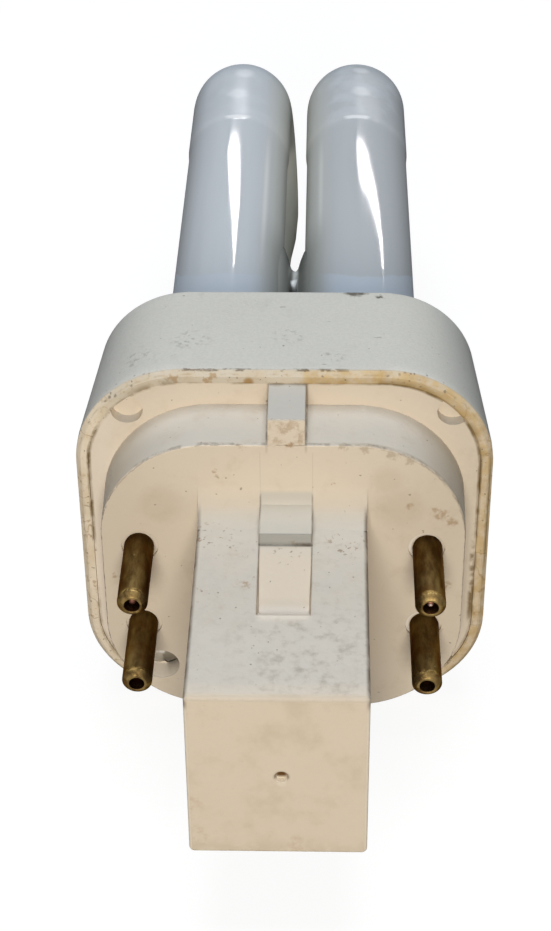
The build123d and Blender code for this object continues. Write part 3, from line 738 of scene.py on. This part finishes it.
# The broken hole: painted light on its broken walls, and painted shade deeper in.
hole_x, hole_z = -10.2, -8.5
tunnel_light_and_shade = diagonal(tree, sums(tree, "SUBTRACT", x, hole_x), sums(tree, "SUBTRACT", z, hole_z))
tunnel_light_and_shade = times(tree, ease(tree, tunnel_light_and_shade, 1.56, 1.52), within(tree, depth, 0.1, 2.1))
body = tint(tree, times(tree, tunnel_light_and_shade, 0.85), body, (0.84, 0.77, 0.66, 1))
body = tint(tree, times(tree, tunnel_light_and_shade, ease(tree, depth, 1.85, 2.05)), body, (0.015, 0.012, 0.009, 1))

# Specks all over, fewest on the post's end, and crowds of them by the step.
dots = specks(tree, uneven, per_mm=0.7, size=0.11, share=0.3)
fine = specks(tree, uneven, per_mm=1.6, size=0.07, share=0.28)
crowd = spots(tree, spot, ((-5.4, -3.5, 7.6), 2.4), ((5.0, -4.2, 7.6), 2.2), ((-5.6, -10.5, 7.6), 1.4),
              ((5.8, -0.6, 7.6), 1.6), ((-4.6, -5.0, 7.6), 1.6), ((0.4, -5.2, 7.4), 1.5))
cluster = times(tree, specks(tree, ragged, per_mm=2.4, size=0.14, share=0.6), crowd)
body = tint(tree, times(tree, cluster, 0.6), body, (0.29, 0.205, 0.12, 1))
dirt = together(tree, times(tree, dots, 0.55), times(tree, fine, 0.55), times(tree, cluster, 0.2))
dirt = times(tree, dirt, sums(tree, "SUBTRACT", 1.0, times(tree, post_end, 0.9)))
body = tint(tree, dirt, body, (0.12, 0.085, 0.055, 1))

tree.links.new(body, shader.inputs["Base Color"])
set_sockets(shader, {"Specular IOR Level": 0.03})
dull(tree, shader, cloud(tree, spot, 1.2, 5.0), 0.45, 0.65)
grain = sums(tree, "SUBTRACT", times(tree, cloud(tree, spot, 2.6, 5.0), 0.6), times(tree, dirt, 0.8))
grain = sums(tree, "SUBTRACT", grain, times(tree, arris, 1.6))
roughen(tree, shader, grain, strength=0.45, relief=0.0001)
flat_faces(finish_piece(moulding("base_cap"), "base_cap_moulding", cap, ["base_cap"]))

# Torn flap: the scrap of the cap's seat face that was bent inwards when the hole was broken out.
# It still hangs in the hole by its upper edge, with a ragged lower edge and pale torn places.
hole_radius = 1.47
flap_depth = 0.0009
flap_thickness = 0.0004
flap, tree, shader, spot = new_finish("torn_plastic")
torn = tint(tree, cloud(tree, spot, 1.2, 5.0), (0.24, 0.205, 0.155, 1), (0.36, 0.315, 0.245, 1))
turned = ease(tree, split(tree, frayed(tree, spot, 1.6, 0.3))[0], -10.05, -10.25)
torn = tint(tree, turned, torn, (0.60, 0.54, 0.45, 1))
pale = spots(tree, frayed(tree, spot, 2.2, 0.6), ((-10.7, 0.9, -7.6), 0.45), ((-10.2, 0.9, -7.75), 0.4),
             ((-9.7, 0.9, -7.5), 0.25))
torn = tint(tree, pale, torn, (0.90, 0.87, 0.80, 1))
tree.links.new(torn, shader.inputs["Base Color"])
set_sockets(shader, {"Roughness": 0.7})
turns = [radians(degrees) for degrees in range(0, 181, 15)]
arc = [(hole_x + hole_radius * cos(turn), hole_z + hole_radius * sin(turn)) for turn in turns]
ragged_edge = [
    (-11.62, -8.45), (-11.2, -8.8), (-10.85, -8.95), (-10.4, -9.05), (-10.15, -8.95),
    (-9.95, -8.78), (-9.85, -8.86), (-9.5, -8.82), (-9.1, -8.68), (-8.78, -8.5),
]
bm = bmesh.new()
rim = [bm.verts.new(SEAT + Vector((a / 1000, flap_depth, b / 1000))) for a, b in arc + ragged_edge]
scrap = bm.faces.new(rim)
back = bmesh.ops.extrude_face_region(bm, geom=[scrap])["geom"]
back = [g for g in back if isinstance(g, bmesh.types.BMVert)]
bmesh.ops.translate(bm, verts=back, vec=(0, flap_thickness, 0))
bmesh.ops.recalc_face_normals(bm, faces=bm.faces)
finish_piece(bm, "torn_flap", flap)

# Contact pins: turned brass, bored at the tip, pressed through the seat face. The brass has darkened to brown
# and olive, and is rubbed bright just behind the tips, with a painted highlight on the upper side. The wire's
# end shows in the bore, with a painted glint on the upper right one.
pin_radius = 0.0012
tail_radius = 0.0011
tail_hole = 0.0002
bore_radius = 0.0006
bore_depth = 0.0028
wire_radius = 0.00028
wire_point = 0.0001
upper_wire_back = 0.0005
lower_wire_back = 0.0014
tip_chamfer = 0.0004
turned_edge = 0.00012
turned_fold = radians(30)
pin_sides = 48
pin_reach = 0.0075
pin_tail = 0.0060
pin_x = 0.0115
pin_z = 0.004
pin_places = {
    "upper_left": (-pin_x, pin_z),
    "lower_left": (-pin_x, -pin_z),
    "upper_right": (pin_x, pin_z),
    "lower_right": (pin_x, -pin_z),
}
brass, tree, shader, spot = new_finish("darkened_brass")
x, depth, z = split(tree, spot)
face_z = split(tree, node(tree, "ShaderNodeNewGeometry").outputs["Normal"])[2]
off_x = sums(tree, "SUBTRACT", sums(tree, "ABSOLUTE", x), 1000 * pin_x)
off_z = sums(tree, "SUBTRACT", sums(tree, "ABSOLUTE", z), 1000 * pin_z)
from_axis = diagonal(tree, off_x, off_z)
outward = times(tree, depth, -1.0)
drawn_out = node(tree, "ShaderNodeMapping", {"Vector": spot, "Scale": (1.0, 0.30, 1.0)}).outputs[0]
tone = ease(tree, cloud(tree, drawn_out, 0.9, 6.0, 0.68), 0.34, 0.66)
dark = tint(tree, tone, (0.062, 0.036, 0.013, 1), (0.165, 0.112, 0.044, 1))
ruddy = ease(tree, cloud(tree, spot, 0.45, 5.0), 0.48, 0.66)
dark = tint(tree, times(tree, ruddy, 0.6), dark, (0.090, 0.042, 0.012, 1))
# Rubbed bright behind the tips, with a painted highlight on the upper side.
rubbed_and_highlit = times(tree, within(tree, outward, 6.8, 7.25, 0.15), ease(tree, face_z, 0.55, 0.95))
rubbed_and_highlit = times(tree, rubbed_and_highlit, ease(tree, cloud(tree, spot, 3.2, 5.0, 0.7), 0.42, 0.60))
tip_ring = times(tree, ease(tree, outward, 7.25, 7.45), ease(tree, cloud(tree, spot, 1.5, 4.0), 0.4, 0.6))
rubbed_and_highlit = together(tree, rubbed_and_highlit, times(tree, tip_ring, 0.4))
dark = tint(tree, times(tree, rubbed_and_highlit, 0.7), dark, (0.50, 0.35, 0.13, 1))
nicks = specks(tree, spot, per_mm=1.3, size=0.10, share=0.2)
dark = tint(tree, times(tree, nicks, 0.5), dark, (0.30, 0.24, 0.14, 1))
bore = times(tree, ease(tree, from_axis, 0.64, 0.58), ease(tree, outward, 3.0, 4.0))
dark = tint(tree, bore, dark, (0.055, 0.018, 0.010, 1))
wire_end = times(tree, ease(tree, from_axis, 0.30, 0.24), ease(tree, outward, 4.0, 5.0))
dark = tint(tree, times(tree, wire_end, 0.45), dark, (0.28, 0.13, 0.09, 1))
# A painted glint on the wire's end in the upper right pin.
wire_glint = times(tree, spots(tree, spot, ((11.5, -7.1, 3.9), 0.22)), wire_end)
dark = tint(tree, wire_glint, dark, (0.85, 0.70, 0.62, 1))
tree.links.new(dark, shader.inputs["Base Color"])
set_sockets(shader, {"Metallic": 1.0, "Specular Tint": (0.34, 0.29, 0.21, 1)})
dull(tree, shader, cloud(tree, spot, 1.8, 5.0), 0.32, 0.58)
pitted = sums(tree, "SUBTRACT", cloud(tree, drawn_out, 2.0, 6.0, 0.7), times(tree, nicks, 0.6))
roughen(tree, shader, pitted, strength=0.45, relief=0.0001)

for place, (x, z) in pin_places.items():
    bm = bmesh.new()
    middle = SEAT + Vector((x, 0, z))
    wire_tip = -pin_reach + (upper_wire_back if z > 0 else lower_wire_back)
    profile = [
        (pin_tail, tail_hole),
        (pin_tail, tail_radius),
        (0, tail_radius),
        (0, pin_radius),
        (-pin_reach + tip_chamfer, pin_radius),
        (-pin_reach, pin_radius - tip_chamfer),
        (-pin_reach, bore_radius),
        (-pin_reach + bore_depth, bore_radius),
        (-pin_reach + bore_depth, wire_radius),
        (wire_tip, wire_radius),
        (wire_tip - wire_point, 0.0),
    ]
    line = [bm.verts.new(middle + Vector((0, y, r))) for y, r in profile]
    run = [bm.edges.new(pair) for pair in zip(line, line[1:])]
    bmesh.ops.spin(bm, geom=line + run, cent=middle, axis=(0, 1, 0), angle=2 * pi, steps=pin_sides,
                   use_merge=True)
    bmesh.ops.remove_doubles(bm, verts=bm.verts, dist=1e-7)
    bmesh.ops.recalc_face_normals(bm, faces=bm.faces)
    rings = [e for e in bm.edges if len(e.link_faces) == 2 and e.calc_face_angle() > turned_fold]
    bmesh.ops.bevel(bm, geom=rings, offset=turned_edge, offset_type="OFFSET", segments=3, profile=0.5,
                    affect="EDGES", clamp_overlap=True, material=-1)
    finish_piece(bm, "contact_pin_turned_" + place, brass, ["contact_pin_" + place])

# Studio: a pale floor that the lamp lies on, a soft overhead light, a soft light from the camera's side,
# two bright panels that show only as streaks in the glass, and the camera at the photograph's angle.
floor_half_width = 2.0
lamp_middle = (0, -0.01, 0.02)
panel_depth = 0.300
panel_shine = 230.0


def background_rays(tree):
    """1 for the rays that see the background: from the camera, off a gloss or through glass."""
    path = node(tree, "ShaderNodeLightPath")
    kinds = ("Is Camera Ray", "Is Glossy Ray", "Is Transmission Ray")
    return together(tree, *[path.outputs[kind] for kind in kinds])


def stage_piece(bm, name, finish):
    """Turns a bmesh into a thing of the studio, which is no part of the lamp."""
    mesh = bpy.data.meshes.new(name)
    bm.to_mesh(mesh)
    bm.free()
    mesh.materials.append(finish)
    thing = bpy.data.objects.new(name, mesh)
    scene.collection.objects.link(thing)
    return thing


def soft_light(name, place, size, power, colour):
    """A square soft box that faces the lamp."""
    light = bpy.data.lights.new(name, "AREA")
    light.energy = power
    light.size = size
    light.color = colour
    box = bpy.data.objects.new(name, light)
    box.location = place
    box.rotation_euler = (Vector(lamp_middle) - Vector(place)).to_track_quat("-Z", "Y").to_euler()
    scene.collection.objects.link(box)


def reflection_panel(name, corners, piece):
    """A bright panel behind the lamp that shows only in one piece's gloss; corners are x and z in mm."""
    glow = bpy.data.materials.new(name)
    glow.use_nodes = True
    tree = glow.node_tree
    tree.nodes.clear()
    light = node(tree, "ShaderNodeEmission", {"Color": (1, 1, 1, 1), "Strength": panel_shine})
    node(tree, "ShaderNodeOutputMaterial", {"Surface": light.outputs[0]})
    bm = bmesh.new()
    bm.faces.new([bm.verts.new((x / 1000, panel_depth, z / 1000)) for x, z in corners])
    panel = stage_piece(bm, name, glow)
    panel.visible_camera = False
    panel.visible_diffuse = False
    panel.visible_shadow = False
    group = bpy.data.collections.new(name + "_receivers")
    group.objects.link(bpy.data.objects[piece])
    panel.light_linking.receiver_collection = group


floor_finish = bpy.data.materials.new("pale_floor")
floor_finish.use_nodes = True
tree = floor_finish.node_tree
tree.nodes.clear()
plain = node(tree, "ShaderNodeBsdfDiffuse", {"Color": (0.14, 0.14, 0.14, 1)})
glow = node(tree, "ShaderNodeEmission", {"Color": (1, 1, 1, 1), "Strength": 0.90})
lit = node(tree, "ShaderNodeAddShader", {0: plain.outputs[0], 1: glow.outputs[0]})
seen = background_rays(tree)
both = node(tree, "ShaderNodeMixShader", {0: seen, 1: plain.outputs[0], 2: lit.outputs[0]})
node(tree, "ShaderNodeOutputMaterial", {"Surface": both.outputs[0]})
bm = bmesh.new()
bmesh.ops.create_grid(bm, x_segments=1, y_segments=1, size=floor_half_width)
stage_piece(bm, "floor", floor_finish)

world = bpy.data.worlds.new("studio")
world.use_nodes = True
tree = world.node_tree
tree.nodes.clear()
room = node(tree, "ShaderNodeBackground", {"Color": (0.97, 1.0, 1.03, 1), "Strength": 0.10})
white = node(tree, "ShaderNodeBackground", {"Color": (1, 1, 1, 1), "Strength": 1.0})
seen = background_rays(tree)
both = node(tree, "ShaderNodeMixShader", {0: seen, 1: room.outputs[0], 2: white.outputs[0]})
node(tree, "ShaderNodeOutputWorld", {"Surface": both.outputs[0]})
scene.world = world

soft_light("overhead", place=(0.0, 0.04, 0.55), size=0.30, power=1.66, colour=(0.93, 1.0, 1.09))
soft_light("from_camera", place=(0.0, -0.55, 0.24), size=0.18, power=2.55, colour=(1.05, 1.0, 0.92))
reflection_panel("left_panel", [
    (-53, 160), (-12, 167), (17, 170), (36, 180), (34, 199), (9, 193), (-30, 179), (-62, 161),
], "glass_tube_left")
reflection_panel("right_panel", [
    (7, 167), (41, 164), (84, 154), (122, 136), (145, 128),
    (147, 136), (125, 145), (83, 166), (26, 180), (3, 171),
], "glass_tube_right")

camera = bpy.data.cameras.new("camera")
camera.lens = 80.478
camera.sensor_width = 36.0
viewer = bpy.data.objects.new("camera", camera)
viewer.location = (0.0032347, -0.1615194, 0.1230245)
viewer.rotation_euler = (radians(54.19455), radians(0.45922), radians(1.31997))
scene.collection.objects.link(viewer)
scene.camera = viewer
scene.view_settings.view_transform = "Standard"
